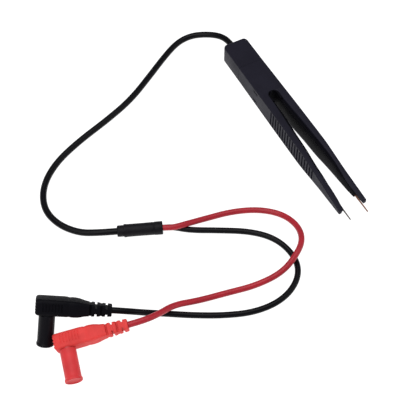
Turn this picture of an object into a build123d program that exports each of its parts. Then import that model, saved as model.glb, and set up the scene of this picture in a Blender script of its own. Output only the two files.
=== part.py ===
from build123d import *
from math import cos, pi, radians, sin, tan
import os

# Test tweezers for a multimeter: two spring arms with probe needles, a cable,
# a Y-splitter and two right-angle 4 mm safety plugs with dust caps.
#
# Millimetres. The tweezers lie flat on z = 0 with their tips towards -Y, and the
# origin is the middle of their footprint. X runs across the two arms.

os.makedirs("parts", exist_ok=True)

# ---------------------------------------------------------------- driving dimensions
THICK = 14.0                  # height of the handle, and of the arms at their roots
MID = THICK / 2               # parting plane, and the height of the needles
REAR_Y = 80.5                 # rear face of the handle
CAP_Y = 57.5                  # seam between the rear cap and the two shells
HINGE_Y = 24.0                # where the arms flex
HINGE_X = 6.65
KNUCKLE_R = 2.75              # rounded root of an arm
SEAT_GAP = 0.15               # between an arm's root and its seat in the handle
SLOT_Y = 25.8                 # centre of the round end of the slot
SLOT_R = 3.9
TAPER_Y = -25.0               # the arms thin towards the tips from here
TIP_Y = -73.0                 # end of the moulded arms
TIP_THICK = 3.4
NEEDLE_TIP_Y = -80.5
NEEDLE_X = 6.4
NEEDLE_R = 0.4
SHANK_R = 0.55
EDGE_R = 1.1                  # rounding of the handle's long edges
WALL = 1.8

# half-widths of the tweezers in plan, outside and inside, at their Y
OUTER = [(REAR_Y, 9.1), (CAP_Y, 9.15), (HINGE_Y, 9.4), (-10.0, 9.6), (-50.0, 9.7), (TIP_Y, 10.1)]
INNER = [(HINGE_Y, SLOT_R), (17.0, 3.65), (8.0, 3.75), (-3.0, 4.1), (-10.0, 4.4), (-17.0, 4.65),
         (-24.0, 4.95), (-31.0, 5.4), (-38.0, 5.65), (-51.0, 5.8), (-60.0, 5.95), (-66.0, 6.3), (TIP_Y, 6.9)]
# the back of the open channel along each arm's inner side, and the face of the liner that fills it
BACK = [(21.0, 5.85), (8.0, 5.9), (-10.0, 6.55), (-31.0, 7.5), (-45.0, 7.8), (-60.0, 7.9)]
FACE = [(21.0, 3.7), (8.0, 3.75), (-10.0, 4.4), (-31.0, 5.4), (-38.0, 5.65), (-66.0, 5.75)]

CHANNEL_TOP_Y = 21.0
CHEEK_END_Y = -60.0           # the channel's lower wall stops here
LINER_END_Y = -66.0
TIP_WALL_X = 7.95             # the outer and upper walls go on to the tip
CHEEK = 1.7                   # thickness of those walls at the grip
GROOVE_Y = 13.2               # first rib
GROOVE_PITCH = 3.1
GROOVES = 18
GROOVE_DEPTH = 0.7
GROOVE_MARGIN = 0.8           # between a groove and the arm's top and bottom
GROOVE_WIDTH = 1.35

CABLE_R = 2.0                 # main cable
LEAD_R = 1.8                  # red and black leads
WIRE_R = 0.65                 # insulated cores
WIRE_BORE_R = 0.75            # round channels for them
WIRE_SLOT = 0.85              # half the width and height of their square channels in the arms

POCKET_X = 6.9                # half-width of the hollow inside the handle
POCKET_Y = 31.5
WINDOW_Y = (31.9, 37.2)       # snap windows in the side walls
WINDOW_Z = 3.7                # above and below the parting plane
WINDOW_H = 0.9
TAB_THICK = 1.9               # latch tab behind each window
BORE_END_Y = 46.0             # the cores' channels in the handle walls start here

# right-angle plug, in its own frame: x towards the cable, y out of its side, z towards the mouth
PLUG_BACK = -6.9
PLUG_HEIGHT = 10.0
PLUG_HALF = 5.0
RELIEF_X = (22.5, 36.7)
RELIEF_R = (3.75, 3.2)
CORD_Z = -4.5                 # height of the cord's axis in the plug
SHROUD_R = (3.4, 4.1)
SHROUD_Z = (-5.0, 17.9)
PIN_R = 2.0
PIN_Z = (-7.0, 17.2)
WAIST_Z = (5.0, 14.2)
CAP_R = (4.2, 4.75)
CAP_FLANGE_R = 5.15
CAP_Z = (0.25, 19.3)
RIM = 0.02                    # the plugs' rims stand this far above the surface

# ---------------------------------------------------------------- cord routes
MAIN_ROUTE = [
    (0, REAR_Y, 7), (0, 88.5, 7), (-2.5, 96.5, 6.2), (-9.5, 104, 4.4), (-19.5, 109, 2.9),
    (-31.5, 109.2, 2.02), (-45.5, 101.8, 2.02), (-62, 90, 2.02), (-83, 76, 2.02),
    (-105, 67.8, 2.02), (-129, 60, 2.02), (-150, 50.5, 2.02), (-165, 37, 2.02),
    (-171.5, 20, 2.02), (-168, 5, 2.02), (-159, -7, 2.4), (-148.05, -14.33, 4.25), (-137.7, -18.6, 4.25),
]
SPLIT_A = Vector(-137.7, -18.6, 4.25)
SPLIT_B = Vector(-111.5, -29.4, 4.25)
SPLIT_LENGTH = (SPLIT_B - SPLIT_A).length
SPLIT_CORE = 27.0             # length of the inner sleeve
SPLIT_COLLAR = 4.2            # how much of it shows at the cable's end
LEAD_LEAN = Vector(-0.4, -0.97, 1.5)     # the red lead leaves the splitter this far off its axis, and the
                                         # black one as far the other way


def length_of(run):
    return (run[1] - run[0]).length


def corner_radii(points):
    """Largest arcs that the runs of a cord's route allow."""
    spots = [Vector(*p) for p in points]
    radii = []
    for before, here, after in zip(spots, spots[1:], spots[2:]):
        turn = radians((here - before).get_angle(after - here))
        shorter = min(length_of((before, here)), length_of((here, after)))
        radii.append(0.45 * shorter / tan(turn / 2))
    return radii


def tube(name, points, radius):
    """A round cord along straight runs joined by tangent arcs."""
    radii = corner_radii(points)
    with BuildPart() as cord:
        with BuildLine() as path:
            FilletPolyline(*points, radius=radii)
        line = path.wires()[0]
        with BuildSketch(Plane(origin=line @ 0, z_dir=line % 0)):
            Circle(radius)
        sweep(path=line)
    ideal = pi * radius ** 2 * line.length
    print(f"{name}: length {line.length:.1f}, volume/ideal {cord.part.volume / ideal:.4f},",
          f"tightest radius {min(radii):.1f}")
    return cord


def save(piece, name):
    piece.part.label = name
    export_step(piece.part, f"parts/{name}.step")


def along(table, y):
    """Value of a (Y, value) table at y."""
    for (y0, v0), (y1, v1) in zip(table, table[1:]):
        if y1 <= y <= y0:
            return v0 + (v1 - v0) * (y - y0) / (y1 - y0)
    return table[-1][1]


def thickness(y):
    if y >= TAPER_Y:
        return THICK
    return THICK + (TIP_THICK - THICK) * (y - TAPER_Y) / (TIP_Y - TAPER_Y)


def block(x, y, z, mode=Mode.ADD):
    """A box given by its limits on each axis."""
    middle = ((x[0] + x[1]) / 2, (y[0] + y[1]) / 2, (z[0] + z[1]) / 2)
    with Locations(middle):
        Box(x[1] - x[0], y[1] - y[0], z[1] - z[0], mode=mode)


# ---------------------------------------------------------------- handle
SEAT_R = KNUCKLE_R + SEAT_GAP
SEAT_HALF = SEAT_R * sin(radians(60))
SEAT_EDGE_Y = HINGE_Y + SEAT_R * cos(radians(60))
SLOT_EDGE_X = (SLOT_R ** 2 - (SEAT_EDGE_Y - SLOT_Y) ** 2) ** 0.5


def handle_plan():
    """Plan of the two shells: square at the rear cap, two seats and the slot's end in front."""
    right = HINGE_X + SEAT_HALF
    left = HINGE_X - SEAT_HALF
    edge = along(OUTER, SEAT_EDGE_Y)
    rear = along(OUTER, CAP_Y)
    with BuildSketch(mode=Mode.PRIVATE) as plan:
        with BuildLine():
            Polyline((-right, SEAT_EDGE_Y), (-edge, SEAT_EDGE_Y), (-rear, CAP_Y),
                     (rear, CAP_Y), (edge, SEAT_EDGE_Y), (right, SEAT_EDGE_Y))
            ThreePointArc((right, SEAT_EDGE_Y), (HINGE_X, HINGE_Y + SEAT_R), (left, SEAT_EDGE_Y))
            Line((left, SEAT_EDGE_Y), (SLOT_EDGE_X, SEAT_EDGE_Y))
            ThreePointArc((SLOT_EDGE_X, SEAT_EDGE_Y), (0, SLOT_Y + SLOT_R), (-SLOT_EDGE_X, SEAT_EDGE_Y))
            Line((-SLOT_EDGE_X, SEAT_EDGE_Y), (-left, SEAT_EDGE_Y))
            ThreePointArc((-left, SEAT_EDGE_Y), (-HINGE_X, HINGE_Y + SEAT_R), (-right, SEAT_EDGE_Y))
        make_face()
    return plan.sketch


def handle_shell(upper):
    """One half of the handle, with its hollow, wire channels and snap windows."""
    low, high = (MID, THICK) if upper else (0.0, MID)
    pocket = (MID, THICK - WALL) if upper else (WALL, MID)
    window = MID + WINDOW_Z if upper else MID - WINDOW_Z
    outside = THICK if upper else 0.0
    with BuildPart() as shell:
        with BuildSketch(Plane.XY.offset(low)):
            add(handle_plan())
        extrude(amount=high - low)
        long_edges = (shell.edges().filter_by(lambda e: abs(e.center().Z - outside) < 0.01)
                      .filter_by(lambda e: abs(e.center().X) > 8.5 and e.length > 20))
        fillet(long_edges, EDGE_R)
        block((-POCKET_X, POCKET_X), (POCKET_Y, CAP_Y), pocket, Mode.SUBTRACT)
        for side in (-1, 1):
            block(sorted((side * (POCKET_X - 1), side * 12)), WINDOW_Y,
                  (window - WINDOW_H / 2, window + WINDOW_H / 2), Mode.SUBTRACT)
            if not upper:
                latch_tab(side)
            with Locations((side * HINGE_X, (HINGE_Y + BORE_END_Y) / 2, MID)):
                Cylinder(WIRE_BORE_R, BORE_END_Y - HINGE_Y, rotation=(90, 0, 0), mode=Mode.SUBTRACT)
    return shell


def latch_tab(side):
    """Springy tab of the lower shell that snaps into the upper shell's window."""
    tab_y = (WINDOW_Y[0] + 0.3, WINDOW_Y[1] - 0.3)
    top = MID + WINDOW_Z + WINDOW_H / 2
    block(sorted((side * (POCKET_X - TAB_THICK), side * POCKET_X)), tab_y, (WALL, MID - WINDOW_Z - 0.6))
    block(sorted((side * (POCKET_X - TAB_THICK), side * (POCKET_X - 0.05))), tab_y, (WALL, top + 0.3))
    block(sorted((side * (POCKET_X - 0.1), side * (POCKET_X + 1.5))), tab_y,
          (top - WINDOW_H + 0.06, top - 0.06))


def rear_cap():
    """Hollow cap that closes the handle and lets the cable out."""
    rear_radius = 3.0
    neck = POCKET_X - 0.06
    with BuildPart() as cap:
        with BuildSketch():
            with BuildLine():
                Polyline((-along(OUTER, CAP_Y), CAP_Y), (-OUTER[0][1], REAR_Y),
                         (OUTER[0][1], REAR_Y), (along(OUTER, CAP_Y), CAP_Y), close=True)
            make_face()
        extrude(amount=THICK)
        fillet(cap.edges().filter_by(Axis.Z).group_by(Axis.Y)[-1], rear_radius)
        rims = (cap.edges().filter_by(lambda e: abs(abs(e.center().Z - MID) - MID) < 0.01)
                .filter_by(lambda e: e.center().Y > CAP_Y + 1))
        fillet(rims, EDGE_R)
        block((-neck, neck), (CAP_Y - 4.0, CAP_Y), (WALL + 0.06, THICK - WALL - 0.06))
        block((-neck + 1.2, neck - 1.2), (CAP_Y - 4.0, REAR_Y - 4.0), (3.2, THICK - 3.2), Mode.SUBTRACT)
        with Locations((0, REAR_Y - 3.0, MID)):
            Cylinder(CABLE_R + 0.06, 8.0, rotation=(90, 0, 0), mode=Mode.SUBTRACT)
    return cap


def cable_clamp():
    """Block inside the rear cap that grips the cable's jacket."""
    with BuildPart() as clamp:
        block((-4.6, 4.6), (67.0, 75.9), (3.3, THICK - 3.3))
        fillet(clamp.edges().filter_by(Axis.Y), 1.0)
        with Locations((0, 71.0, MID)):
            Cylinder(CABLE_R, 20.0, rotation=(90, 0, 0), mode=Mode.SUBTRACT)
    return clamp


def cable_end():
    """The part of the main cable's jacket that is inside the rear cap."""
    with BuildPart() as jacket:
        with Locations((0, (REAR_Y + 62.0) / 2, MID)):
            Cylinder(CABLE_R, REAR_Y - 62.0, rotation=(90, 0, 0))
    return jacket


def core_route(side):
    """An insulated core from the cable's end to the arm's root."""
    return [(side * 0.9, 61.95, MID), (side * 1.6, 56.0, MID), (side * 5.0, 47.0, MID),
            (side * HINGE_X, 40.0, MID), (side * HINGE_X, HINGE_Y + SEAT_R, MID)]


# ---------------------------------------------------------------- arms
def channel_half(y):
    """Half the channel's height: the walls thin with the arm."""
    return thickness(y) / 2 - CHEEK * thickness(y) / THICK


def strip(side, near, far, half, ys):
    """A solid along an arm: plan limits near(y) and far(y), height from half(y)."""
    with BuildPart(mode=Mode.PRIVATE) as piece:
        with BuildSketch():
            with BuildLine():
                inside = [(side * near(y), y) for y in ys]
                outside = [(side * far(y), y) for y in reversed(ys)]
                Polyline(*inside, *outside, close=True)
            make_face()
        extrude(amount=THICK)
        with BuildSketch(Plane.YZ):
            with BuildLine():
                top = [(y, MID + half(y)) for y in ys]
                bottom = [(y, MID - half(y)) for y in reversed(ys)]
                Polyline(*top, *bottom, close=True)
            make_face()
        extrude(amount=15, both=True, mode=Mode.INTERSECT)
    return piece.part


CHANNEL_YS = [CHANNEL_TOP_Y, 8.0, -10.0, TAPER_Y, -31.0, -45.0, CHEEK_END_Y]
LINER_YS = [CHANNEL_TOP_Y, 8.0, -10.0, TAPER_Y, -31.0, -38.0, -45.0, CHEEK_END_Y, LINER_END_Y]

WIRE_ROUTE = [(HINGE_X, HINGE_Y + KNUCKLE_R), (HINGE_X, 13.0), (6.2, 5.0), (5.9, -8.0), (6.7, -26.0),
              (6.75, -38.0), (NEEDLE_X, -44.0), (NEEDLE_X, -50.0)]
WIRE_YS = [CHANNEL_TOP_Y + 1] + [p[1] for p in WIRE_ROUTE[1:]]


def wire_x(y):
    return along([(p[1], p[0]) for p in WIRE_ROUTE], y)


def arm_shell(side):
    """Moulded arm: round root, ribbed outer side, open channel inside, thinning to the tip."""
    channel = strip(side, lambda y: 0.0, lambda y: along(BACK, y), channel_half, CHANNEL_YS)
    with BuildPart() as arm:
        with BuildSketch():
            with BuildLine():
                outer = [(side * along(OUTER, y), y) for y in (HINGE_Y, -10.0, -50.0, TIP_Y)]
                inner = [(side * x, y) for y, x in reversed(INNER)]
                Polyline(*outer, *inner)
                ThreePointArc((side * (HINGE_X - KNUCKLE_R), HINGE_Y), (side * HINGE_X, HINGE_Y + KNUCKLE_R),
                              (side * (HINGE_X + KNUCKLE_R), HINGE_Y))
            make_face()
        extrude(amount=THICK)
        side_view = [(HINGE_Y + 3, 0), (HINGE_Y + 3, THICK), (TAPER_Y, THICK),
                     (TIP_Y, MID + TIP_THICK / 2), (TIP_Y, MID - TIP_THICK / 2), (TAPER_Y, 0)]
        with BuildSketch(Plane.YZ):
            with BuildLine():
                Polyline(*side_view, close=True)
            make_face()
        extrude(amount=15, both=True, mode=Mode.INTERSECT)
        add(channel, mode=Mode.SUBTRACT)
        with BuildSketch(Plane.YZ):
            with BuildLine():
                Polyline((CHEEK_END_Y, -1), (CHEEK_END_Y, MID + channel_half(CHEEK_END_Y)),
                         (TIP_Y - 1, MID + channel_half(TIP_Y - 1)), (TIP_Y - 1, -1), close=True)
            make_face()
        extrude(amount=TIP_WALL_X, dir=(side, 0, 0), mode=Mode.SUBTRACT)
        for i in range(GROOVES):
            y = GROOVE_Y - i * GROOVE_PITCH
            x = along(OUTER, y)
            reach = thickness(y - GROOVE_WIDTH / 2) / 2 - GROOVE_MARGIN
            block(sorted((side * (x - GROOVE_DEPTH), side * (x + 2))),
                  (y - GROOVE_WIDTH / 2, y + GROOVE_WIDTH / 2), (MID - reach, MID + reach), Mode.SUBTRACT)
        with Locations((side * HINGE_X, HINGE_Y - 4.5, MID)):
            Cylinder(WIRE_BORE_R, 15.0, rotation=(90, 0, 0), mode=Mode.SUBTRACT)
        with BuildSketch(Plane.XY.offset(MID - WIRE_SLOT)):
            with BuildLine():
                near = [(side * (wire_x(y) - WIRE_SLOT), y) for y in WIRE_YS]
                far = [(side * (wire_x(y) + WIRE_SLOT), y) for y in reversed(WIRE_YS)]
                Polyline(*near, *far, close=True)
            make_face()
        extrude(amount=2 * WIRE_SLOT, mode=Mode.SUBTRACT)
    return arm


def arm_liner(side):
    """Insulating strip in the arm's channel that carries the needle and covers the wire."""
    gap = 0.05
    body = strip(side, lambda y: along(FACE, y), lambda y: along(BACK, y) - gap,
                 lambda y: channel_half(y) - gap, [CHANNEL_TOP_Y - gap] + LINER_YS[1:])
    with BuildPart() as liner:
        add(body)
        with BuildSketch(Plane.XY.offset(MID - WIRE_SLOT)):
            with BuildLine():
                near = [(side * (wire_x(y) - WIRE_SLOT), y) for y in WIRE_YS]
                far = [(side * 12.0, y) for y in (-50.0, CHANNEL_TOP_Y + 1)]
                Polyline(*near, *far, close=True)
            make_face()
        extrude(amount=2 * WIRE_SLOT, mode=Mode.SUBTRACT)
        with Locations((side * NEEDLE_X, -57.0, MID)):
            Cylinder(SHANK_R + 0.02, 20.0, rotation=(90, 0, 0), mode=Mode.SUBTRACT)
    return liner


def probe_needle(side):
    """Turned needle: thick shank in the liner, thin pointed end."""
    shank_end = -71.0
    point = 1.0
    profile = [(0, -50.2), (SHANK_R, -50.2), (SHANK_R, shank_end), (NEEDLE_R, shank_end - 0.8),
               (NEEDLE_R, NEEDLE_TIP_Y + point), (0.12, NEEDLE_TIP_Y), (0, NEEDLE_TIP_Y)]
    with BuildPart() as needle:
        with BuildSketch(Plane(origin=(side * NEEDLE_X, 0, MID), x_dir=(1, 0, 0), z_dir=(0, 0, 1))):
            with BuildLine():
                Polyline(*profile, close=True)
            make_face()
        revolve(axis=Axis((side * NEEDLE_X, 0, MID), (0, 1, 0)))
    return needle


# ---------------------------------------------------------------- splitter
def splitter():
    """Inner sleeve on the cable's end, and the outer sleeve over the joint."""
    core_r = 3.6
    frame = Plane(origin=SPLIT_A, x_dir=(0, 0, 1), z_dir=SPLIT_B - SPLIT_A)
    with BuildPart(frame) as core:
        Cylinder(core_r, SPLIT_CORE, align=(Align.CENTER, Align.CENTER, Align.MIN))
    with BuildPart(frame) as sleeve:
        with Locations((0, 0, SPLIT_COLLAR)):
            Cylinder(4.05, SPLIT_LENGTH - SPLIT_COLLAR, align=(Align.CENTER, Align.CENTER, Align.MIN))
        with Locations((0, 0, SPLIT_LENGTH - 5.0)):
            Cylinder(4.22, 5.0, align=(Align.CENTER, Align.CENTER, Align.MIN))
        Cylinder(core_r + 0.05, SPLIT_LENGTH, align=(Align.CENTER, Align.CENTER, Align.MIN),
                 mode=Mode.SUBTRACT)
    save(core, "splitter_inner_sleeve")
    save(sleeve, "splitter_outer_sleeve")


# ---------------------------------------------------------------- plugs
def plug_frame(mouth, heading, slope, roll):
    """Frame of a plug from the middle of its mouth and its attitude, in degrees."""
    level = Vector(cos(radians(heading)), sin(radians(heading)), 0)
    barrel = level * cos(radians(slope)) - Vector(0, 0, 1) * sin(radians(slope))
    upright = level * sin(radians(slope)) + Vector(0, 0, 1) * cos(radians(slope))
    across = upright.cross(barrel)
    cable = across * cos(radians(roll)) + upright * sin(radians(roll))
    height = CAP_FLANGE_R * cos(radians(slope)) + RIM
    middle = Vector(mouth[0], mouth[1], height)
    return Plane(origin=middle - barrel * CAP_Z[1], x_dir=cable, z_dir=barrel)


PLUGS = {
    "black": plug_frame((-207.6, -69.35), -127.4, 52.0, -12.5),
    "red": plug_frame((-202.4, -99.5), -103.6, 8.4, 9.0),
}


def spot(frame, x, y, z):
    return frame.from_local_coords(Vector(x, y, z))


def station(frame, x, z=0.0):
    """Plane across the plug's cable axis: its x is the plug's y, its y the plug's z."""
    return Plane(origin=spot(frame, x, 0, z), x_dir=frame.y_dir, z_dir=frame.x_dir)


BODY_SECTIONS = [
    # x, half-width, lowest z, highest z, corner radius
    (PLUG_BACK, 4.3, -9.3, -0.7, 1.6),
    (-5.4, PLUG_HALF, -PLUG_HEIGHT, 0.0, 1.8),
    (12.0, PLUG_HALF, -PLUG_HEIGHT, 0.0, 1.8),
    (17.5, 4.9, -9.5, 0.1, 1.8),
    (RELIEF_X[0], 3.95, -8.5, -0.6, 1.8),
]


def plug_body(frame):
    """Soft overmould: gripping head, waist and a strain relief cut by alternating slots."""
    with BuildPart(frame) as body:
        for first, second in zip(BODY_SECTIONS, BODY_SECTIONS[1:]):
            for x, half, low, high, corner in (first, second):
                with BuildSketch(station(frame, x, (low + high) / 2)):
                    RectangleRounded(2 * half, high - low, corner)
            loft()
        with BuildSketch(station(frame, RELIEF_X[0], CORD_Z)):
            Circle(RELIEF_R[0])
        with BuildSketch(station(frame, RELIEF_X[1], CORD_Z)):
            Circle(RELIEF_R[1])
        loft()
        # alternating slots of the strain relief
        for i, x in enumerate((24.4, 27.5, 30.6, 33.6)):
            for sign in (-1, 1):
                offset = (0, sign * 3.3, CORD_Z) if i % 2 == 0 else (0, 0, CORD_Z + sign * 3.3)
                size = (1.3, 3.2, 9.0) if i % 2 == 0 else (1.3, 9.0, 3.2)
                with Locations((x, offset[1], offset[2])):
                    Box(*size, mode=Mode.SUBTRACT)
        # grip grooves on both sides, and across the back
        for i in range(7):
            for sign in (-1, 1):
                with Locations((-2.2 + 1.75 * i, sign * PLUG_HALF, -5.3)):
                    Box(0.6, 0.8, 5.6, mode=Mode.SUBTRACT)
        for i in range(4):
            with Locations((PLUG_BACK, 0, -8.0 + 2.0 * i)):
                Box(1.0, 12.0, 0.9, mode=Mode.SUBTRACT)
        # seats of the shroud and the pin, and the bore of the conductor
        with Locations((0, 0, SHROUD_Z[0])):
            Cylinder(SHROUD_R[1] + 0.02, 8.0, align=(Align.CENTER, Align.CENTER, Align.MIN), mode=Mode.SUBTRACT)
        with Locations((0, 0, PIN_Z[0])):
            Cylinder(PIN_R + 0.02, 5.0, align=(Align.CENTER, Align.CENTER, Align.MIN), mode=Mode.SUBTRACT)
        with Locations((RELIEF_X[1] / 2 + 1, 0, CORD_Z)):
            Cylinder(0.9, RELIEF_X[1] + 2, rotation=(0, 90, 0), mode=Mode.SUBTRACT)
    return body


def plug_shroud(frame):
    """Rigid insulating tube round the pin, with a floor."""
    with BuildPart(frame) as shroud:
        with Locations((0, 0, SHROUD_Z[0])):
            Cylinder(SHROUD_R[1], SHROUD_Z[1] - SHROUD_Z[0], align=(Align.CENTER, Align.CENTER, Align.MIN))
        with Locations((0, 0, -2.6)):
            Cylinder(SHROUD_R[0], 30.0, align=(Align.CENTER, Align.CENTER, Align.MIN), mode=Mode.SUBTRACT)
        Cylinder(PIN_R + 0.02, 30.0, mode=Mode.SUBTRACT)
        with Locations((PIN_R + 1.5, 0, CORD_Z)):
            Cylinder(0.9, 5.0, rotation=(0, 90, 0), mode=Mode.SUBTRACT)
    return shroud


def plug_pin(frame):
    """Turned 4 mm pin with a waist for its contact spring."""
    waist_r = 1.45
    nose = 0.8
    profile = [(0, PIN_Z[0]), (PIN_R, PIN_Z[0]), (PIN_R, WAIST_Z[0]), (waist_r, WAIST_Z[0]),
               (waist_r, WAIST_Z[1]), (PIN_R, WAIST_Z[1]), (PIN_R, PIN_Z[1] - nose),
               (PIN_R - nose, PIN_Z[1]), (0, PIN_Z[1])]
    with BuildPart() as pin:
        with BuildSketch(Plane(origin=frame.origin, x_dir=frame.x_dir, z_dir=-frame.y_dir)):
            with BuildLine():
                Polyline(*profile, close=True)
            make_face()
        revolve(axis=Axis(frame.origin, frame.z_dir))
    return pin


def plug_spring(frame):
    """Lantern spring: six bowed leaves between two rings."""
    low, high = WAIST_Z[0] + 0.1, WAIST_Z[1] - 0.1
    middle = (low + high) / 2
    with BuildPart(frame) as spring:
        with BuildSketch(Plane(origin=frame.origin, x_dir=frame.x_dir, z_dir=-frame.y_dir)):
            with BuildLine():
                Line((1.5, low), (1.75, low))
                ThreePointArc((1.75, low), (2.15, middle), (1.75, high))
                Line((1.75, high), (1.5, high))
                ThreePointArc((1.5, high), (1.9, middle), (1.5, low))
            make_face()
        revolve(axis=Axis(frame.origin, frame.z_dir))
        for i in range(3):
            with Locations(Location((0, 0, middle), (0, 0, 60 * i))):
                Box(6.0, 0.55, high - low - 2.0, mode=Mode.SUBTRACT)
    return spring


def plug_wire(frame):
    """Conductor from the strain relief to the pin."""
    reach = PIN_R + 0.05
    with BuildPart(frame) as wire:
        with Locations(((RELIEF_X[1] + reach) / 2, 0, CORD_Z)):
            Cylinder(0.85, RELIEF_X[1] - reach, rotation=(0, 90, 0))
    return wire


def plug_cap(frame):
    """Push-on dust cap with a gripping flange round its dished end."""
    flange_z = 17.7
    floor_z = 18.1
    with BuildPart(frame) as cap:
        with Locations((0, 0, CAP_Z[0])):
            Cylinder(CAP_R[1], CAP_Z[1] - CAP_Z[0], align=(Align.CENTER, Align.CENTER, Align.MIN))
        with Locations((0, 0, flange_z)):
            Cylinder(CAP_FLANGE_R, CAP_Z[1] - flange_z, align=(Align.CENTER, Align.CENTER, Align.MIN))
        with Locations((0, 0, CAP_Z[0] - 1)):
            Cylinder(CAP_R[0], floor_z - CAP_Z[0] + 1, align=(Align.CENTER, Align.CENTER, Align.MIN),
                     mode=Mode.SUBTRACT)
        with Locations((0, 0, CAP_Z[1] - 0.4)):
            Cylinder(3.8, 1.0, align=(Align.CENTER, Align.CENTER, Align.MIN), mode=Mode.SUBTRACT)
    return cap


# ---------------------------------------------------------------- build and write
save(handle_shell(True), "upper_shell")
save(handle_shell(False), "lower_shell")
save(rear_cap(), "rear_cap")
save(cable_clamp(), "cable_clamp")
save(cable_end(), "cable_end")

for side, arm_name, core_name in ((-1, "left", "black"), (1, "right", "red")):
    save(arm_shell(side), f"{arm_name}_arm")
    save(arm_liner(side), f"{arm_name}_arm_liner")
    save(probe_needle(side), f"{arm_name}_needle")
    save(tube(f"{arm_name} wire", [(side * x, y, MID) for x, y in WIRE_ROUTE], WIRE_R), f"{arm_name}_arm_wire")
    save(tube(f"{core_name} core", core_route(side), WIRE_R), f"{core_name}_core_wire")

save(tube("main cable", MAIN_ROUTE, CABLE_R), "main_cable")
splitter()

SPLIT_DIR = (SPLIT_B - SPLIT_A).normalized()


def lead_start(lean, reach):
    point = SPLIT_A + SPLIT_DIR * (SPLIT_CORE + reach) + lean
    return (point.X, point.Y, point.Z)


def lead_end(frame, reach):
    point = spot(frame, RELIEF_X[1] + reach, 0, CORD_Z)
    return (point.X, point.Y, point.Z)


RED_MIDDLE = [
    (-105.8, -33.3, 6.3), (-96, -33.1, 5.3), (-83, -33.4, 1.9), (-67, -36.8, 1.82), (-51, -43.2, 1.82),
    (-39.7, -54, 2.8), (-36.8, -67.5, 6), (-40.8, -79, 8.7), (-50, -87, 8.7), (-62.5, -91.8, 4.5),
    (-80, -91, 1.82), (-98, -87.2, 1.82), (-116, -84.3, 2.8), (-131, -83.7, 7.5), (-143.5, -86.7, 13),
]
BLACK_MIDDLE = [
    (-104.8, -30.8, 2.1), (-96.5, -37.9, 1.82), (-81, -45.8, 1.82), (-65, -55.5, 1.82), (-54.5, -66.5, 1.82), (-49.5, -79, 1.82),
    (-50.5, -92, 1.82), (-59, -101.5, 1.82), (-73, -107, 1.82), (-90, -106, 1.82), (-107, -99.5, 1.82),
    (-124, -90.5, 1.82), (-136.5, -84.8, 4.2), (-148, -81, 9),
]
for colour, lean, middle in (("red", LEAD_LEAN, RED_MIDDLE), ("black", LEAD_LEAN * -1, BLACK_MIDDLE)):
    frame = PLUGS[colour]
    route = [lead_start(lean, 0), lead_start(lean, 2.5), *middle, lead_end(frame, 9.0), lead_end(frame, 0)]
    for point in (route[0], route[1], route[-2], route[-1]):
        print(colour, "lead", [round(v, 1) for v in point])
    save(tube(f"{colour} lead", route, LEAD_R), f"{colour}_lead")
    save(plug_body(frame), f"{colour}_plug_body")
    save(plug_shroud(frame), f"{colour}_plug_shroud")
    save(plug_pin(frame), f"{colour}_plug_pin")
    save(plug_spring(frame), f"{colour}_plug_spring")
    save(plug_wire(frame), f"{colour}_plug_wire")
    save(plug_cap(frame), f"{colour}_plug_cap")
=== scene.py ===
"""Looks of the test tweezers, their cable, splitter, leads and two capped plugs.

The tables are in millimetres, and MM turns them into metres. The tweezers lie on z = 0
with their tips towards -Y, and X runs across the arms. A CAD node that no piece here
replaces stays where it is and only gets its finish.
"""
import math

import bmesh
import bpy
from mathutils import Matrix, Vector


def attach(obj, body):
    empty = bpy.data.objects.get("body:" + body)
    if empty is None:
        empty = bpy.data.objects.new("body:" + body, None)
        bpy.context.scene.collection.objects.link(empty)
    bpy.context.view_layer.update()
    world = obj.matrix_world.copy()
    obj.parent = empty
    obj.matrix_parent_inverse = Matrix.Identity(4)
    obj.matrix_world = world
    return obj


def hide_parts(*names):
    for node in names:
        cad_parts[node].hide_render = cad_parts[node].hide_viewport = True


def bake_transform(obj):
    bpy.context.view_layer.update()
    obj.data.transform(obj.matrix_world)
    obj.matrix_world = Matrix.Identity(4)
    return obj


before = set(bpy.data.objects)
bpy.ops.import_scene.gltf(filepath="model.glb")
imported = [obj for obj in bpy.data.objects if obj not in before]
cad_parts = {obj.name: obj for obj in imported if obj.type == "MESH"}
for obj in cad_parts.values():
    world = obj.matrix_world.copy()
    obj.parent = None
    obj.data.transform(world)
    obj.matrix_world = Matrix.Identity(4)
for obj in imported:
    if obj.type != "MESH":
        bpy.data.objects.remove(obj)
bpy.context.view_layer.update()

MM = 0.001
WELD = 1e-7                   # points nearer than this are one point
SHARP = math.radians(32.0)    # edges that turn by more than this stay sharp
MID_Z = 7.0 * MM              # parting plane of the handle, and the height of the needles


# ---------------------------------------------------------------- camera, floor, light
def make_camera():
    """The photograph's viewpoint: from the front left, looking down."""
    azimuth, elevation = math.radians(-27.86), math.radians(54.81)
    distance = 0.6614
    target = Vector((-0.0798, -0.0190, 0.0))
    back = Vector((math.sin(azimuth) * math.cos(elevation),
                   -math.cos(azimuth) * math.cos(elevation),
                   math.sin(elevation)))
    data = bpy.data.cameras.new("camera")
    data.sensor_width = 36.0
    data.lens = 93.3
    data.clip_start = 0.01
    camera = bpy.data.objects.new("camera", data)
    camera.location = target + back * distance
    camera.rotation_euler = (-back).to_track_quat("-Z", "Y").to_euler()
    bpy.context.scene.collection.objects.link(camera)
    bpy.context.scene.camera = camera


def area_light(name, place, aim, size, power):
    """A square soft light at a place, turned towards its aim."""
    data = bpy.data.lights.new(name, "AREA")
    data.shape = "SQUARE"
    data.size = size
    data.energy = power
    light = bpy.data.objects.new(name, data)
    light.location = place
    light.rotation_euler = (Vector(aim) - Vector(place)).to_track_quat("-Z", "Y").to_euler()
    bpy.context.scene.collection.objects.link(light)


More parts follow.
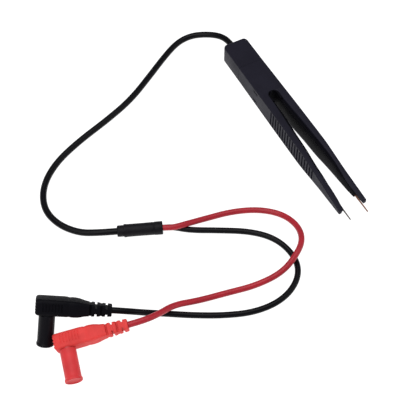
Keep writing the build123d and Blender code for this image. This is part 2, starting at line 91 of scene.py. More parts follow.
def make_studio():
    """Soft light from three sides on a pale paper floor."""
    world = bpy.data.worlds.new("studio")
    world.use_nodes = True
    world.node_tree.nodes["Background"].inputs["Color"].default_value = (0.93, 0.95, 1.0, 1.0)
    world.node_tree.nodes["Background"].inputs["Strength"].default_value = 0.3
    bpy.context.scene.world = world
    middle = (-0.08, 0.0, 0.0)
    area_light("key", (-0.75, -0.35, 0.75), middle, 0.7, 3.4)
    area_light("fill", (0.75, -0.55, 0.6), middle, 0.8, 2.0)
    area_light("top", (-0.1, 0.1, 1.1), middle, 0.9, 6.6)
    bpy.context.scene.view_settings.view_transform = "Standard"

    bpy.ops.mesh.primitive_plane_add(size=6.0, location=(0, 0, 0))
    floor = bpy.context.object
    floor.name = "floor"
    material, _, _, shader = new_material("floor_paper", (0.25, 0.25, 0.25), 0.9)
    shader.inputs["Specular IOR Level"].default_value = 0.1
    shader.inputs["Emission Color"].default_value = (1.0, 1.0, 1.0, 1.0)
    shader.inputs["Emission Strength"].default_value = 1.0
    floor.data.materials.append(material)


# ---------------------------------------------------------------- materials
BLOTCH, TINT, GLOSS = 90.0, 0.12, 0.04   # slow changes: their scale, and the swing of tone and gloss


def new_material(name, color, roughness):
    """A material of one colour, with the parts of its node tree that the finishes add to."""
    material = bpy.data.materials.new(name)
    material.use_nodes = True
    nodes, links = material.node_tree.nodes, material.node_tree.links
    shader = nodes["Principled BSDF"]
    shader.inputs["Base Color"].default_value = (*color, 1.0)
    shader.inputs["Roughness"].default_value = roughness
    return material, nodes, links, shader


def noise(nodes, links, vector, scale, detail):
    """The grey value of a noise texture."""
    texture = nodes.new("ShaderNodeTexNoise")
    texture.inputs["Scale"].default_value = scale
    texture.inputs["Detail"].default_value = detail
    links.new(vector, texture.inputs["Vector"])
    return texture.outputs["Fac"]


def spread(nodes, links, value, low, high):
    """Stretches the middle of a noise to the range low..high."""
    remap = nodes.new("ShaderNodeMapRange")
    remap.inputs["From Min"].default_value = 0.3
    remap.inputs["From Max"].default_value = 0.7
    remap.inputs["To Min"].default_value = low
    remap.inputs["To Max"].default_value = high
    links.new(value, remap.inputs["Value"])
    return remap.outputs["Result"]


def toned(nodes, links, shader, factor, dark, light):
    """Base colour that goes from dark to light with a factor."""
    tone = nodes.new("ShaderNodeMix")
    tone.data_type = "RGBA"
    tone.inputs["A"].default_value = (*dark, 1.0)
    tone.inputs["B"].default_value = (*light, 1.0)
    links.new(factor, tone.inputs["Factor"])
    links.new(tone.outputs["Result"], shader.inputs["Base Color"])


def moulded(name, color, roughness, grain=2600.0, grain_depth=0.02, specular=0.5):
    """Moulded plastic or rubber: fine grain, slow changes of tone and gloss."""
    material, nodes, links, shader = new_material(name, color, roughness)
    shader.inputs["Specular IOR Level"].default_value = specular
    place = nodes.new("ShaderNodeTexCoord").outputs["Object"]
    slow = noise(nodes, links, place, BLOTCH, 3.0)
    fine = noise(nodes, links, place, grain, 2.0)
    toned(nodes, links, shader, spread(nodes, links, slow, 0.0, 1.0),
          [c * (1 - TINT) for c in color], [c * (1 + TINT) for c in color])
    links.new(spread(nodes, links, slow, roughness + GLOSS, roughness - GLOSS),
              shader.inputs["Roughness"])
    bump = nodes.new("ShaderNodeBump")
    bump.inputs["Strength"].default_value = 0.5
    bump.inputs["Distance"].default_value = grain_depth * MM
    links.new(fine, bump.inputs["Height"])
    links.new(bump.outputs["Normal"], shader.inputs["Normal"])
    return material


def metal(name, color, roughness, streak=(1.0, 1.0, 1.0)):
    """Turned or drawn metal: streaks that are finer across than along."""
    material, nodes, links, shader = new_material(name, color, roughness)
    shader.inputs["Metallic"].default_value = 1.0
    mapping = nodes.new("ShaderNodeMapping")
    mapping.inputs["Scale"].default_value = streak
    links.new(nodes.new("ShaderNodeTexCoord").outputs["Object"], mapping.inputs["Vector"])
    fine = noise(nodes, links, mapping.outputs["Vector"], 3000.0, 3.0)
    links.new(spread(nodes, links, fine, roughness - 0.08, roughness + 0.1),
              shader.inputs["Roughness"])
    toned(nodes, links, shader, fine, [c * 0.8 for c in color], color)
    return material


HOUSING = moulded("housing", (0.0140, 0.0132, 0.0215), 0.45, specular=0.07)
# Near black: the real plastic of the liner and the cable clamp, and on the liner also painted shade for
# the arms' shadowed inner faces.
INNER = moulded("inner_plastic", (0.0030, 0.0028, 0.0046), 0.6, specular=0.04)
JACKET = moulded("cable_jacket", (0.0022, 0.0020, 0.0034), 0.3, grain=1800.0, specular=0.12)
RED_JACKET = moulded("red_jacket", (0.40, 0.018, 0.030), 0.34, grain=1800.0, specular=0.25)
SLEEVE = moulded("sleeve", (0.0040, 0.0037, 0.0060), 0.5, grain=1500.0, grain_depth=0.04, specular=0.15)
BLACK_SOFT = moulded("black_overmould", (0.0030, 0.0028, 0.0046), 0.5, specular=0.06)
RED_SOFT = moulded("red_overmould", (0.76, 0.056, 0.052), 0.5, specular=0.15)
BLACK_CAP = moulded("black_cap", (0.0038, 0.0034, 0.0052), 0.42, grain_depth=0.012, specular=0.1)
RED_CAP = moulded("red_cap", (0.66, 0.046, 0.050), 0.42, grain_depth=0.012, specular=0.15)
BLACK_SHROUD = moulded("black_shroud", (0.006, 0.006, 0.008), 0.25, grain_depth=0.006, specular=0.3)
RED_SHROUD = moulded("red_shroud", (0.45, 0.02, 0.022), 0.25, grain_depth=0.006)
BLACK_WIRE = moulded("black_insulation", (0.012, 0.012, 0.012), 0.4)
RED_WIRE = moulded("red_insulation", (0.5, 0.03, 0.02), 0.4)
DRAWN_ALONG_Y = (8.0, 0.2, 8.0)
# One needle metal given twice: a darker, greyer copy for the left needle as painted shade, and a lighter,
# browner copy for the right needle as painted light.
SHADED_NEEDLE_METAL = metal("needle_steel", (0.15, 0.135, 0.125), 0.42, DRAWN_ALONG_Y)
LIT_NEEDLE_METAL = metal("needle_copper", (0.26, 0.13, 0.09), 0.4, DRAWN_ALONG_Y)
NICKEL = metal("nickel", (0.72, 0.70, 0.66), 0.28)
SPRING_GOLD = metal("contact_spring", (0.78, 0.57, 0.30), 0.3)
COPPER = metal("copper", (0.72, 0.40, 0.26), 0.4)


# ---------------------------------------------------------------- mesh tools
def loft(rings, first=True, last=True):
    """Points and faces of a skin through rings with the same number of points."""
    count = len(rings[0])
    points = [p for ring in rings for p in ring]
    faces = []
    for i in range(len(rings) - 1):
        a, b = i * count, (i + 1) * count
        for j in range(count):
            k = (j + 1) % count
            faces.append((a + j, a + k, b + k, b + j))
    if first:
        faces.append(tuple(range(count)))
    if last:
        faces.append(tuple(range(len(points) - count, len(points))))
    return points, faces


def make_piece(name, points, faces, material):
    """A closed mesh: doubled points are welded and sharp edges kept."""
    mesh = bpy.data.meshes.new(name)
    mesh.from_pydata([tuple(p) for p in points], [], faces)
    work = bmesh.new()
    work.from_mesh(mesh)
    bmesh.ops.remove_doubles(work, verts=work.verts, dist=WELD)
    bmesh.ops.dissolve_degenerate(work, edges=work.edges, dist=WELD)
    bmesh.ops.recalc_face_normals(work, faces=work.faces)
    for face in work.faces:
        face.smooth = True
    work.to_mesh(mesh)
    work.free()
    mesh.set_sharp_from_angle(angle=SHARP)
    mesh.materials.append(material)
    piece = bpy.data.objects.new(name, mesh)
    bpy.context.scene.collection.objects.link(piece)
    return piece


def between(table, y):
    """Value of a (y, value) table at y, with y falling."""
    for (y0, v0), (y1, v1) in zip(table, table[1:]):
        if y1 <= y <= y0:
            return v0 + (v1 - v0) * (y - y0) / (y1 - y0)
    return table[0][1] if y > table[0][0] else table[-1][1]


def arc(middle, radius, start, end, steps):
    """Points of an arc in a plane, with angles in degrees."""
    spots = []
    for i in range(steps + 1):
        turn = math.radians(start + (end - start) * i / steps)
        spots.append((middle[0] + radius * math.cos(turn), middle[1] + radius * math.sin(turn)))
    return spots


# ---------------------------------------------------------------- cords
CABLE_R, LEAD_R = 2.15, 1.9
CABLE_Z, LEAD_Z = 2.17, 1.92  # height of the axis where a cord lies on the floor
MAIN_ROUTE = [
    (0, 80.5, 7), (0, 88.5, 7), (-2.5, 96.5, 6.2), (-9.5, 104, 4.4), (-19.5, 109.3, 2.9),
    (-31, 108.4, CABLE_Z), (-45, 100.5, CABLE_Z), (-62, 89.2, CABLE_Z), (-83, 75.8, CABLE_Z),
    (-104.7, 67.1, CABLE_Z), (-128.7, 59.3, CABLE_Z), (-149.7, 49.9, CABLE_Z),
    (-164.5, 36.4, CABLE_Z), (-171, 20, CABLE_Z), (-168, 5, CABLE_Z), (-159, -7.3, 2.5),
    (-148.05, -14.33, 4.25), (-137.7, -18.6, 4.25),
]
RED_ROUTE = [
    (-113.14, -29.86, 5.75), (-110.83, -30.81, 5.75), (-105.8, -33.5, 6.0), (-96, -34.5, 5.2),
    (-83, -34.6, 1.95), (-67, -37.4, LEAD_Z), (-51, -43.9, LEAD_Z), (-40, -54.4, 2.8),
    (-37.1, -68, 6), (-40.8, -79.9, 8.7), (-50, -87.6, 8.7), (-62.5, -92.3, 4.5),
    (-80, -91.5, LEAD_Z), (-98, -87.8, LEAD_Z), (-116, -84.9, 2.8), (-131, -83.1, 7.5),
    (-143.5, -87.2, 13), (-153.24, -88.24, 15.66), (-161.83, -85.95, 14.27),
]
BLACK_ROUTE = [
    (-112.34, -27.92, 2.75), (-110.03, -28.87, 2.75), (-104.8, -30.8, 2.1),
    (-96.5, -37.7, LEAD_Z), (-81, -46, LEAD_Z), (-64.6, -55.5, LEAD_Z), (-53.9, -66.1, LEAD_Z),
    (-49.2, -79, LEAD_Z), (-50.3, -92.4, LEAD_Z), (-59, -102.4, LEAD_Z), (-73, -107.8, LEAD_Z),
    (-90, -106.9, LEAD_Z), (-107, -100.4, LEAD_Z), (-124, -91.2, LEAD_Z), (-136.5, -84.8, 4.2),
    (-148, -81, 9), (-158.52, -78.62, 15.86), (-166.43, -74.5, 17.06),
]


def make_cord(name, route, radius, material):
    """A round jacket on a smooth line that has the route's points as its control points."""
    data = bpy.data.curves.new(name, "CURVE")
    data.dimensions = "3D"
    data.bevel_depth = radius * MM
    data.bevel_resolution = 8
    data.resolution_u = 16
    data.use_fill_caps = True
    line = data.splines.new("NURBS")
    line.points.add(len(route) - 1)
    for point, place in zip(line.points, route):
        point.co = (*(c * MM for c in place), 1.0)
    line.order_u = 3
    line.use_endpoint_u = True
    data.materials.append(material)
    cord = bpy.data.objects.new(name, data)
    bpy.context.scene.collection.objects.link(cord)
    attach(cord, "handle")
    return cord


make_camera()
main_cable = make_cord("main_cable_jacket", MAIN_ROUTE, CABLE_R, JACKET)
red_lead = make_cord("red_lead_jacket", RED_ROUTE, LEAD_R, RED_JACKET)
black_lead = make_cord("black_lead_jacket", BLACK_ROUTE, LEAD_R, JACKET)
for cord, node, slot in ((main_cable, "main_cable", "cable_jacket"), (red_lead, "red_lead", "red_jacket"),
                         (black_lead, "black_lead", "cable_jacket")):
    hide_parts(node)


# ---------------------------------------------------------------- tweezers: measures
REAR_Y, CAP_Y, ROOT_Y = 81.0, 57.5, 31.0
SLOT_Y, SLOT_R = 25.8, 3.9
# The channel and its dark strip reach up to CHANNEL_TOP_Y near the slot, so that the strip's dark covers
# the inner faces there as painted shade.
CHANNEL_TOP_Y, CHEEK_END_Y, LINER_END_Y, TIP_Y = 21.0, -60.0, -66.0, -73.0
TAPER_Y, TAPER_EASE = -25.0, 5.0
HALF, TIP_HALF = 7.0, 1.7     # half the thickness of the handle and of the tips
CHEEK = 1.7                   # thickness of the channel's walls at the grip
GROOVE_Y, GROOVE_PITCH, GROOVES, GROOVE_DEPTH, GROOVE_MARGIN = 13.2, 3.1, 18, 0.7, 0.8
# how far the top face stands back from the inner edge, and the strip and the lower wall stand out from it
SETBACK = [(22.0, 0.0), (14.0, 0.4), (0.0, 0.9), (-40.0, 0.9), (-55.0, 0.0)]
OUT_AT_GRIP = [(SLOT_Y + SLOT_R, 0.0), (27.0, 1.0), (22.0, 1.4), (5.0, 1.3), (-8.0, 0.8), (-25.0, 0.65)]
OUT_ABOVE = OUT_AT_GRIP + [(-45.0, 0.5), (-55.0, 0.0)]
OUT_BELOW = OUT_AT_GRIP + [(LINER_END_Y, 0.65)]
GROOVE_FLOOR, GROOVE_MOUTH = 0.58, 0.72      # half the width of a groove at its floor and mouth
NEEDLE_X = 6.4
# half-widths in plan: outside, inner edge, back of the channel, face of the strip that fills it
OUTER = [(REAR_Y, 9.1), (CAP_Y, 9.15), (24.0, 9.4), (-10.0, 9.6), (-50.0, 9.7), (TIP_Y, 10.1)]
INNER_EDGE = [(SLOT_Y, SLOT_R), (17.0, 3.65), (8.0, 3.75), (-3.0, 4.1), (-10.0, 4.4), (-17.0, 4.65),
              (-24.0, 4.95), (-31.0, 5.4), (-38.0, 5.65), (-51.0, 5.8), (-60.0, 5.95), (-66.0, 6.3),
              (TIP_Y, 6.9)]
BACK = [(CHANNEL_TOP_Y, 5.85), (8.0, 5.9), (-10.0, 6.55), (-31.0, 7.5), (-45.0, 7.8), (-60.0, 7.95)]
FACE = [(CHANNEL_TOP_Y, 3.7), (8.0, 3.75), (-10.0, 4.4), (-31.0, 5.4), (-38.0, 5.65), (-66.0, 5.75)]
# radius of the long outer edges
EDGE = [(REAR_Y, 1.3), (CAP_Y, 1.1), (ROOT_Y, 0.7), (10.0, 0.4), (TAPER_Y, 0.45), (-45.0, 0.9),
        (TIP_Y, 0.6)]
BEVEL = 0.35                  # of the top's inner edge
SEAM = 0.2                    # half the width, and the depth, of the seam between the handle's mouldings


def half_height(y):
    """Half the arm's thickness: even, then thinning to the tip past a soft bend."""
    slope = (HALF - TIP_HALF) / (TAPER_Y - TIP_Y)
    past = TAPER_Y - y
    if past <= -TAPER_EASE:
        return HALF
    if past < TAPER_EASE:
        return HALF - slope * (past + TAPER_EASE) ** 2 / (4 * TAPER_EASE)
    return HALF - slope * past


def inner_edge(y):
    """Distance from the middle to the arm's inner face, round the end of the slot and beyond."""
    if y >= SLOT_Y + SLOT_R:
        return 0.0
    if y > SLOT_Y:
        return math.sqrt(SLOT_R ** 2 - (y - SLOT_Y) ** 2)
    return between(INNER_EDGE, y)


def cheek(y):
    """Thickness of the channel's walls, thinning with the arm."""
    return CHEEK * half_height(y) / HALF


# ---------------------------------------------------------------- arms
def arm_section(y, groove, channel, inset, top):
    """Half of an arm's outline, as (distance from the middle, height above the needles)."""
    outer, inner, high = between(OUTER, y) - inset, inner_edge(y) + inset, half_height(y) - inset
    round_r = between(EDGE, y)
    back = between(BACK, y)
    inner += between(SETBACK, y) if top else -between(OUT_BELOW, y)
    if channel == "wall":
        inner = back + inset
    bevel = min(BEVEL, inner * 0.2)
    deep = max(inner, back) if channel == "open" else inner
    lip = high - cheek(y)
    flank = outer - GROOVE_DEPTH if groove else outer
    upper = [(flank, high - GROOVE_MARGIN), (outer, high - GROOVE_MARGIN)]
    upper += arc((outer - round_r, high - round_r), round_r, 0.0, 90.0, 6)
    upper += [(inner + bevel, high), (inner + 0.3 * bevel, high - 0.3 * bevel), (inner, high - bevel)]
    upper += [(inner, lip), (deep, lip)]
    return upper


def arm_ring(side, y, groove, above, below, inset=0.0, shift=0.0):
    """A closed section, with "none" for no channel, "open", or "wall" for only the outer wall."""
    upper = arm_section(y, groove, above, inset, True)
    lower = [(u, -z) for u, z in reversed(arm_section(y, groove, below, inset, False))]
    return [(side * u * MM, (y + shift) * MM, MID_Z + z * MM) for u, z in upper + lower]


def arm_stations():
    """(y, in a groove, channel above, channel below) from the root to the tip."""
    stations = [(ROOT_Y, False), (30.2, False)]
    stations += [(SLOT_Y + SLOT_R * math.sin(math.radians(a)), False) for a in range(90, -1, -10)]
    stations += [(SLOT_Y - 1.5 * i, False) for i in range(1, 8)]
    for i in range(GROOVES):
        y = GROOVE_Y - i * GROOVE_PITCH
        stations += [(y + GROOVE_MOUTH, False), (y + GROOVE_FLOOR, True),
                     (y - GROOVE_FLOOR, True), (y - GROOVE_MOUTH, False)]
    stations += [(y, False) for y in (-42.0, -46.0, -50.0, -55.0, -58.0)]
    rings = []
    for y, groove in stations:
        if rings and rings[-1][0] > CHANNEL_TOP_Y >= y:
            rings += [(CHANNEL_TOP_Y, False, "none", "none"), (CHANNEL_TOP_Y, False, "open", "open")]
        channel = "open" if y < CHANNEL_TOP_Y else "none"
        rings.append((y, groove, channel, channel))
    rings.append((CHEEK_END_Y, False, "open", "open"))
    rings += [(y, False, "open", "wall") for y in (CHEEK_END_Y, -64.0, -66.0, -68.0, -71.0, TIP_Y + 0.5)]
    return rings


def make_arm(name, side):
    """Ribbed arm with its half of the slot's end, in one skin up to its root."""
    rings = [arm_ring(side, *station) for station in arm_stations()]
    rings.append(arm_ring(side, TIP_Y, False, "open", "wall", inset=0.12, shift=0.16))
    rings.append(arm_ring(side, TIP_Y, False, "open", "wall", inset=0.45))
    arm = make_piece(f"{name}_moulding", *loft(rings), HOUSING)
    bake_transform(arm)
    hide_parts(name)


LINER_GAP, LINER_CURVE = 0.06, 0.3       # clearance in the channel, and radius of the strip's long edges
WRAP_THICK, WRAP_SETDOWN = 1.9, 0.3      # round the slot's end: thickness, and depth below the top face, of the dark wrap there, which is painted shade on the slot's end


def liner_stations():
    """(y, trim at the free end) of the strip, from round the slot's end, where it is painted shade, to
    the tip.
    """
    stations = [(SLOT_Y + SLOT_R * math.sin(math.radians(a)), 0.0) for a in range(85, -1, -10)]
    stations += [(y, 0.0) for y in (24.0, 22.5, CHANNEL_TOP_Y, CHANNEL_TOP_Y - 0.1, 8.0, -3.0, -10.0,
                                    -17.0, -20.0, -25.0, -31.0, -38.0, -45.0, -50.0, -55.0, CHEEK_END_Y)]
    return stations + [(-63.0, 0.1), (LINER_END_Y + 0.6, 0.2), (LINER_END_Y + 0.15, 0.4),
                       (LINER_END_Y, 0.75)]


def make_liner(name, side):
    """Dark insulating strip along the channel, which holds the needle; its dark round the slot's end and
    up the inner faces is also painted shade.
    """
    curve = LINER_CURVE
    rings = []
    for y, trim in liner_stations():
        if y < CHANNEL_TOP_Y:
            face = min(inner_edge(y), between(FACE, y))
            back, cover = between(BACK, y), cheek(y)
        else:
            face = inner_edge(y)
            back, cover = face + WRAP_THICK, WRAP_SETDOWN
        above = max(0.0, face - between(OUT_ABOVE, y) - LINER_GAP) + trim
        below = max(0.0, face - between(OUT_BELOW, y) - LINER_GAP) + trim
        far = back - LINER_GAP - trim
        high = half_height(y) - cover - LINER_GAP - trim
        upper = (arc((far - curve, high - curve), curve, 0.0, 90.0, 3)
                 + arc((above + curve, high - curve), curve, 90.0, 180.0, 3))
        lower = (arc((below + curve, curve - high), curve, 180.0, 270.0, 3)
                 + arc((far - curve, curve - high), curve, 270.0, 360.0, 3))
        rings.append([(side * u * MM, y * MM, MID_Z + z * MM) for u, z in upper + lower])
    liner = make_piece(f"{name}_liner_and_painted_shade", *loft(rings), INNER)
    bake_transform(liner)
    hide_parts(f"{name}_liner")


NEEDLE_STEPS = 20
NEEDLE_STATIONS = [
    # y, half-width across the arm, half-height
    (-50.3, 0.5, 0.5), (-65.6, 0.5, 0.5), (-66.4, 0.5, 0.95), (-69.6, 0.5, 0.95), (-71.2, 0.5, 0.75),
    (-72.2, 0.48, 0.55), (-76.0, 0.46, 0.5), (-79.6, 0.44, 0.46), (-80.2, 0.3, 0.3), (-80.47, 0.12, 0.12),
]


def make_needle(name, body, side, material):
    """Probe needle: a flattened blade where it leaves the liner, then a thin point."""
    rings = []
    for y, wide, high in NEEDLE_STATIONS:
        ring = []
        for i in range(NEEDLE_STEPS):
            turn = 2 * math.pi * i / NEEDLE_STEPS
            ring.append(((side * NEEDLE_X + wide * math.cos(turn)) * MM, y * MM,
                         MID_Z + high * math.sin(turn) * MM))
        rings.append(ring)
    needle = make_piece(f"{name}_point", *loft(rings), material)
    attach(needle, body)
    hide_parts(name)


# ---------------------------------------------------------------- handle
POCKET_X, POCKET_Y, POCKET_HIGH = 6.9, 31.5, 5.2     # half-width, front end and half-height of the hollow
WINDOW_Y, WINDOW_Z, WINDOW_H, WINDOW_DEPTH = (31.9, 37.2), 3.9, 1.1, 2.15
CORNER_R, RIM_R = 3.2, 1.3    # of the rear cap, in plan and round its rear face
HOLE_R, HOLE_MOUTH_R = CABLE_R + 0.12, CABLE_R + 0.55


def shell_section(y, hollow, window, inset):
    """Outline of the upper shell, from its right foot over its top to its left foot and back inside."""
    wide, high = between(OUTER, y) - inset, HALF - inset
    curve = between(EDGE, y)
    sill, head = WINDOW_Z - WINDOW_H / 2, WINDOW_Z + WINDOW_H / 2
    deep = WINDOW_DEPTH if window else 0.0
    right = [(wide, 0.0), (wide, sill), (wide - deep, sill), (wide - deep, head), (wide, head)]
    right += arc((wide - curve, high - curve), curve, 0.0, 90.0, 8)
    left = [(-u, z) for u, z in reversed(right)]
    ceiling = POCKET_HIGH if hollow else 0.0
    inside = [(-POCKET_X, 0.0), (-POCKET_X, ceiling), (POCKET_X, ceiling), (POCKET_X, 0.0)]
    return right + left + inside


def make_shell(name, up):
    """Upper or lower half of the handle, hollow, with its snap windows."""
    front, back = WINDOW_Y
    stations = [(y, True, False) for y in (CAP_Y, CAP_Y - SEAM, 50.0, 44.0, back)]
    stations += [(back, True, True), (front, True, True)]
    stations += [(front, True, False), (POCKET_Y, True, False)]
    stations += [(POCKET_Y, False, False), (ROOT_Y, False, False)]
    rings = []
    for y, hollow, window in stations:
        section = shell_section(y, hollow, window, SEAM if y == CAP_Y else 0.0)
        rings.append([(u * MM, y * MM, MID_Z + up * z * MM) for u, z in section])
    shell = make_piece(f"{name}_moulding", *loft(rings), HOUSING)
    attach(shell, "handle")
    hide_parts(name)


def cap_ring(y, plan_inset, height_inset):
    """Closed outline of the rear cap."""
    wide, high = between(OUTER, y) - plan_inset, HALF - height_inset
    curve = between(EDGE, y)
    quarter = arc((wide - curve, high - curve), curve, 0.0, 90.0, 8)
    upper = quarter + [(-u, z) for u, z in reversed(quarter)]
    ring = upper + [(u, -z) for u, z in reversed(upper)]
    return [(u * MM, y * MM, MID_Z + z * MM) for u, z in ring]


def make_rear_cap():
    """Cap with round rear corners and a chamfered hole that the cable comes out of."""
    rings = [cap_ring(CAP_Y, SEAM, SEAM)]
    rings += [cap_ring(y, 0.0, 0.0) for y in (CAP_Y + SEAM, 66.0, REAR_Y - CORNER_R)]
    for turn in (15, 30, 45, 55, 65, 75, 82, 90):
        y = REAR_Y - CORNER_R + CORNER_R * math.sin(math.radians(turn))
        plan = CORNER_R * (1 - math.cos(math.radians(turn)))
        past = max(0.0, y - (REAR_Y - RIM_R))
        rings.append(cap_ring(y, plan, RIM_R - math.sqrt(RIM_R ** 2 - past ** 2)))
    for radius, y in ((HOLE_MOUTH_R, REAR_Y), (HOLE_R, REAR_Y - 0.4), (HOLE_R, REAR_Y - 3.0)):
        ring = []
        for x, _, z in rings[-1]:
            turn = math.atan2(z - MID_Z, x)
            ring.append((radius * math.cos(turn) * MM, y * MM, MID_Z + radius * math.sin(turn) * MM))
        rings.append(ring)
    cap = make_piece("rear_cap_moulding", *loft(rings), HOUSING)
    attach(cap, "handle")
    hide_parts("rear_cap")


make_shell("upper_shell", 1)
make_shell("lower_shell", -1)
make_rear_cap()
for side, arm in ((-1, "left_arm"), (1, "right_arm")):
    make_arm(arm, side)
    make_liner(arm, side)
# The needles get the lit and shaded copies of one metal: painted light on the right one, painted shade on
# the left one.
make_needle("left_needle", "left_arm", -1, SHADED_NEEDLE_METAL)
make_needle("right_needle", "right_arm", 1, LIT_NEEDLE_METAL)


# ---------------------------------------------------------------- pieces with an axis
class Axes:
    """A local frame: an origin and three unit directions."""

    def __init__(self, origin, x, y, z):
        self.origin, self.x, self.y, self.z = Vector(origin), Vector(x), Vector(y), Vector(z)

    def at(self, x, y, z):
        """A local point, in the shared frame and in metres."""
        return (self.origin + self.x * x + self.y * y + self.z * z) * MM


def lathe(axes, profile, steps):
    """Rings of (radius, distance) points turned about the local z axis."""
    rings = []
    for radius, z in profile:
        ring = []
        for i in range(steps):
            turn = 2 * math.pi * i / steps
            ring.append(axes.at(radius * math.cos(turn), radius * math.sin(turn), z))
        rings.append(ring)
    return rings


# ---------------------------------------------------------------- splitter
SPLIT_A, SPLIT_B = Vector((-137.7, -18.6, 4.25)), Vector((-111.5, -29.4, 4.25))
SPLIT_LENGTH = (SPLIT_B - SPLIT_A).length
# radius, distance from the cable's end
COLLAR_PROFILE = [
    (0.0, 0.0), (2.9, 0.0), (3.3, 0.12), (3.52, 0.45), (3.6, 1.0), (3.6, 26.8), (3.45, 27.0), (0.0, 27.0),
]
SLEEVE_PROFILE = [
    (3.66, 4.4), (3.9, 4.2), (4.15, 4.35), (4.18, 4.9), (4.05, 6.2), (4.0, 10.0), (4.0, 15.0),
    (4.05, 21.0), (4.08, 22.9), (3.98, 23.1), (4.18, 23.3), (4.22, 25.0), (4.22, SPLIT_LENGTH - 0.35),
    (4.1, SPLIT_LENGTH - 0.08), (3.9, SPLIT_LENGTH), (3.7, SPLIT_LENGTH - 0.1),
    (3.66, SPLIT_LENGTH - 0.4), (3.66, 4.4),
]


def make_splitter():
    """Short inner sleeve on the cable, and the shrunk outer sleeve that it shows out of."""
    along = (SPLIT_B - SPLIT_A).normalized()
    up = Vector((0, 0, 1))
    axes = Axes(SPLIT_A, up.cross(along), up, along)
    inner = make_piece("splitter_collar", *loft(lathe(axes, COLLAR_PROFILE, 48)), SLEEVE)
    outer = make_piece("splitter_sleeve", *loft(lathe(axes, SLEEVE_PROFILE, 48), False, False), SLEEVE)
    for piece, node in ((inner, "splitter_inner_sleeve"), (outer, "splitter_outer_sleeve")):
        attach(piece, "handle")
        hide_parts(node)
    return [inner, outer]


splitter = make_splitter()


# ---------------------------------------------------------------- plugs
CORD_Z = -4.5                 # height of the cord's axis in a plug
CAP_END_Z, CAP_FLANGE_R, REST_GAP = 19.3, 5.15, 0.02
CORNER_STEPS, LEVELS = 5, 16  # steps round a section's corner and up its flank


def plug_axes(mouth, heading, slope, roll):
    """Local frame of a plug: x towards the cable, y out of its side, z towards the mouth."""
    heading, slope, roll = (math.radians(a) for a in (heading, slope, roll))
    level = Vector((math.cos(heading), math.sin(heading), 0))
    up = Vector((0, 0, 1))
    barrel = level * math.cos(slope) - up * math.sin(slope)
    upright = level * math.sin(slope) + up * math.cos(slope)
    cable = upright.cross(barrel) * math.cos(roll) + upright * math.sin(roll)
    middle = Vector((*mouth, CAP_FLANGE_R * math.cos(slope) + REST_GAP))
    return Axes(middle - barrel * CAP_END_Z, cable, barrel.cross(cable), barrel)


PLUG_STATIONS = [
    # x, half-width, lowest z, highest z, corner radius
    (-6.9, 3.9, -9.1, -0.9, 1.7), (-6.5, 4.5, -9.65, -0.35, 1.8), (-5.5, 4.93, -9.96, -0.03, 1.9),
    (-3.0, 5.0, -10.0, 0.0, 1.9), (9.6, 5.0, -10.0, 0.0, 1.9), (11.0, 4.93, -9.9, 0.0, 1.9),
    (12.0, 4.7, -9.65, -0.1, 1.8), (12.6, 4.7, -9.65, -0.1, 1.8), (13.6, 4.9, -9.8, 0.05, 1.9),
    (15.4, 4.98, -9.75, 0.1, 2.0), (17.6, 4.88, -9.5, 0.0, 2.0), (19.6, 4.5, -9.0, -0.3, 1.9),
    (21.0, 4.15, -8.65, -0.6, 1.8), (22.5, 3.93, -8.4, -0.72, 1.8), (23.3, 3.8, -8.3, -0.75, 1.8),
]
BACK_LEANS, BACK_RIDGES = (0.5, 0.45, 0.2, 0.0), 4.5
SIDE_GROOVES = [-2.2 + 1.75 * i for i in range(7)]
SIDE_GROOVE_DEPTH, SIDE_FLOOR, SIDE_MOUTH = 0.38, 0.24, 0.42     # half-widths at the floor and mouth
GROOVED_LEVELS = 12
RELIEF = [(36.7, 3.2), (22.5, 3.78)]     # x, half-width
RELIEF_SLOTS = [(24.4, "side"), (27.5, "flat"), (30.6, "side"), (33.6, "flat")]
SLOT_HALF, WEB = 0.62, 1.75   # half a slot's width, and half the web that it leaves
SLOT_LIP, SLOT_SHRINK = 0.22, 0.15       # chamfer along x and inwards on a slot's edges


def plug_outline(half, low, high, corner):
    """Right half of a plug's section from low to high, as (y, z)."""
    foot = arc((half - corner, low + corner), corner, -90.0, 0.0, CORNER_STEPS)
    head = arc((half - corner, high - corner), corner, 0.0, 90.0, CORNER_STEPS)
    rise = high - low - 2 * corner
    flank = [(half, low + corner + rise * i / LEVELS) for i in range(1, LEVELS)]
    return foot + flank + head


def groove_side(outline):
    """Sinks the stretch of the flank that the grip grooves cover."""
    first = CORNER_STEPS + 1
    last = first + GROOVED_LEVELS
    return [(y - SIDE_GROOVE_DEPTH, z) if first <= i <= last else (y, z)
            for i, (y, z) in enumerate(outline)]


def plug_ring(axes, x, outline, lean=0.0):
    """A whole section; lean moves its ridges along x on the back of the plug."""
    both = outline + [(-y, z) for y, z in reversed(outline)]
    low, high = outline[0][1], outline[-1][1]
    ring = []
    for y, z in both:
        wave = 0.5 - 0.5 * math.cos(2 * math.pi * BACK_RIDGES * (z - low) / (high - low))
        ring.append(axes.at(x + lean * wave, y, z))
    return ring


def head_rings(axes):
    """The gripping head: ridged back, grooved flanks, a nick and a bulge before the relief."""
    outlines = [(x, plug_outline(*measures)) for x, *measures in PLUG_STATIONS]
    plain = outlines[3][1]
    rings = [plug_ring(axes, x, outline, lean)
             for (x, outline), lean in zip(outlines[:4], BACK_LEANS)]
    for x in SIDE_GROOVES:
        rings.append(plug_ring(axes, x - SIDE_MOUTH, plain))
        rings.append(plug_ring(axes, x - SIDE_FLOOR, groove_side(plain)))
        rings.append(plug_ring(axes, x + SIDE_FLOOR, groove_side(plain)))
        rings.append(plug_ring(axes, x + SIDE_MOUTH, plain))
    rings += [plug_ring(axes, x, outline) for x, outline in outlines[4:]]
    return rings


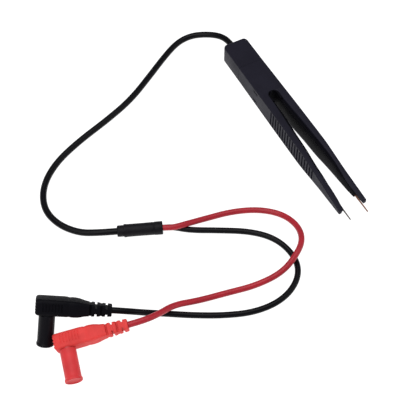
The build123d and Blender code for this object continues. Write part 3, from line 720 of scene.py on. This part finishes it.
def relief_outline(x, pinch=None, shrink=0.0):
    """Section of the tapered strain relief, pinched to its web on the sides or on the flats."""
    half = between(RELIEF, x) - shrink
    outline = plug_outline(half, CORD_Z - half, CORD_Z + half, min(1.5, 0.45 * half))
    if pinch == "side":
        outline = [(min(y, WEB), z) for y, z in outline]
    if pinch == "flat":
        outline = [(y, min(max(z, CORD_Z - WEB), CORD_Z + WEB)) for y, z in outline]
    return outline


def relief_rings(axes):
    """Strain relief: blocks joined by webs, slotted in turn on the sides and on the flats."""
    rings = []
    for x, pinch in RELIEF_SLOTS:
        rings.append(plug_ring(axes, x - SLOT_HALF - SLOT_LIP, relief_outline(x)))
        rings.append(plug_ring(axes, x - SLOT_HALF, relief_outline(x, None, SLOT_SHRINK)))
        rings.append(plug_ring(axes, x - SLOT_HALF, relief_outline(x, pinch, SLOT_SHRINK)))
        rings.append(plug_ring(axes, x + SLOT_HALF, relief_outline(x, pinch, SLOT_SHRINK)))
        rings.append(plug_ring(axes, x + SLOT_HALF, relief_outline(x, None, SLOT_SHRINK)))
        rings.append(plug_ring(axes, x + SLOT_HALF + SLOT_LIP, relief_outline(x)))
    end = RELIEF[0][0]
    rings.append(plug_ring(axes, end - 0.3, relief_outline(end)))
    rings.append(plug_ring(axes, end, relief_outline(end, None, 0.3)))
    return rings


def make_plug_body(colour, axes, material):
    """Head and strain relief in one skin, closed at both ends by strips across the section."""
    rings = head_rings(axes) + relief_rings(axes)
    points, faces = loft(rings, False, False)
    count = len(rings[0])
    for base in (0, len(points) - count):
        for i in range(count // 2 - 1):
            faces.append((base + i, base + i + 1, base + count - 2 - i, base + count - 1 - i))
    body = make_piece(f"{colour}_plug_grip", points, faces, material)
    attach(body, "handle")
    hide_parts(f"{colour}_plug_body")
    return body


CAP_PROFILE = [
    # radius, distance along the barrel: up the outside, over the dished end and back inside
    (4.22, 0.45), (4.4, 0.27), (4.62, 0.25), (4.75, 0.4), (4.75, 8.0), (4.75, 17.2), (4.82, 17.5),
    (5.02, 17.72), (5.13, 18.0), (5.15, 18.4), (5.15, 18.9), (5.08, 19.15), (4.9, 19.29), (4.6, 19.3),
    (4.35, 19.22), (4.1, 19.0), (3.92, 18.8), (3.6, 18.72), (2.0, 18.7), (0.0, 18.7), (0.0, 18.1),
    (4.0, 18.1), (4.2, 17.9), (4.2, 8.0), (4.22, 0.45),
]


def make_cap(colour, axes, material):
    """Push-on dust cap with its flange, turned about the barrel."""
    rings = lathe(axes, CAP_PROFILE, 64)
    cap = make_piece(f"{colour}_plug_dust_cap", *loft(rings, False, False), material)
    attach(cap, f"{colour}_cap")
    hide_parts(f"{colour}_plug_cap")
    return cap


INSIDE_A_PLUG = ("shroud", "pin", "spring", "wire")
PLUGS = {
    # middle of the cap's end, then heading, slope and roll in degrees
    "black": (plug_axes((-207.6, -69.35), -127.4, 52.0, -12.5), BLACK_SOFT, BLACK_CAP),
    "red": (plug_axes((-202.4, -99.5), -103.6, 8.4, 9.0), RED_SOFT, RED_CAP),
}
on_lead = {}
for colour, (axes, soft, cap) in PLUGS.items():
    on_lead[colour] = [make_plug_body(colour, axes, soft), make_cap(colour, axes, cap)]
    on_lead[colour] += [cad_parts[f"{colour}_plug_{part}"] for part in INSIDE_A_PLUG]


# ---------------------------------------------------------------- finish of the CAD nodes that stay
NODE_FINISH = {
    "cable_clamp": INNER, "cable_end": JACKET, "black_core_wire": BLACK_WIRE, "red_core_wire": RED_WIRE,
    "left_arm_wire": BLACK_WIRE, "right_arm_wire": RED_WIRE,
    "black_plug_shroud": BLACK_SHROUD, "red_plug_shroud": RED_SHROUD,
    "black_plug_pin": NICKEL, "red_plug_pin": NICKEL,
    "black_plug_spring": SPRING_GOLD, "red_plug_spring": SPRING_GOLD,
    "black_plug_wire": COPPER, "red_plug_wire": COPPER,
}
for name, finish in NODE_FINISH.items():
    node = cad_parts[name]
    node.data.materials.clear()
    node.data.materials.append(finish)

make_studio()
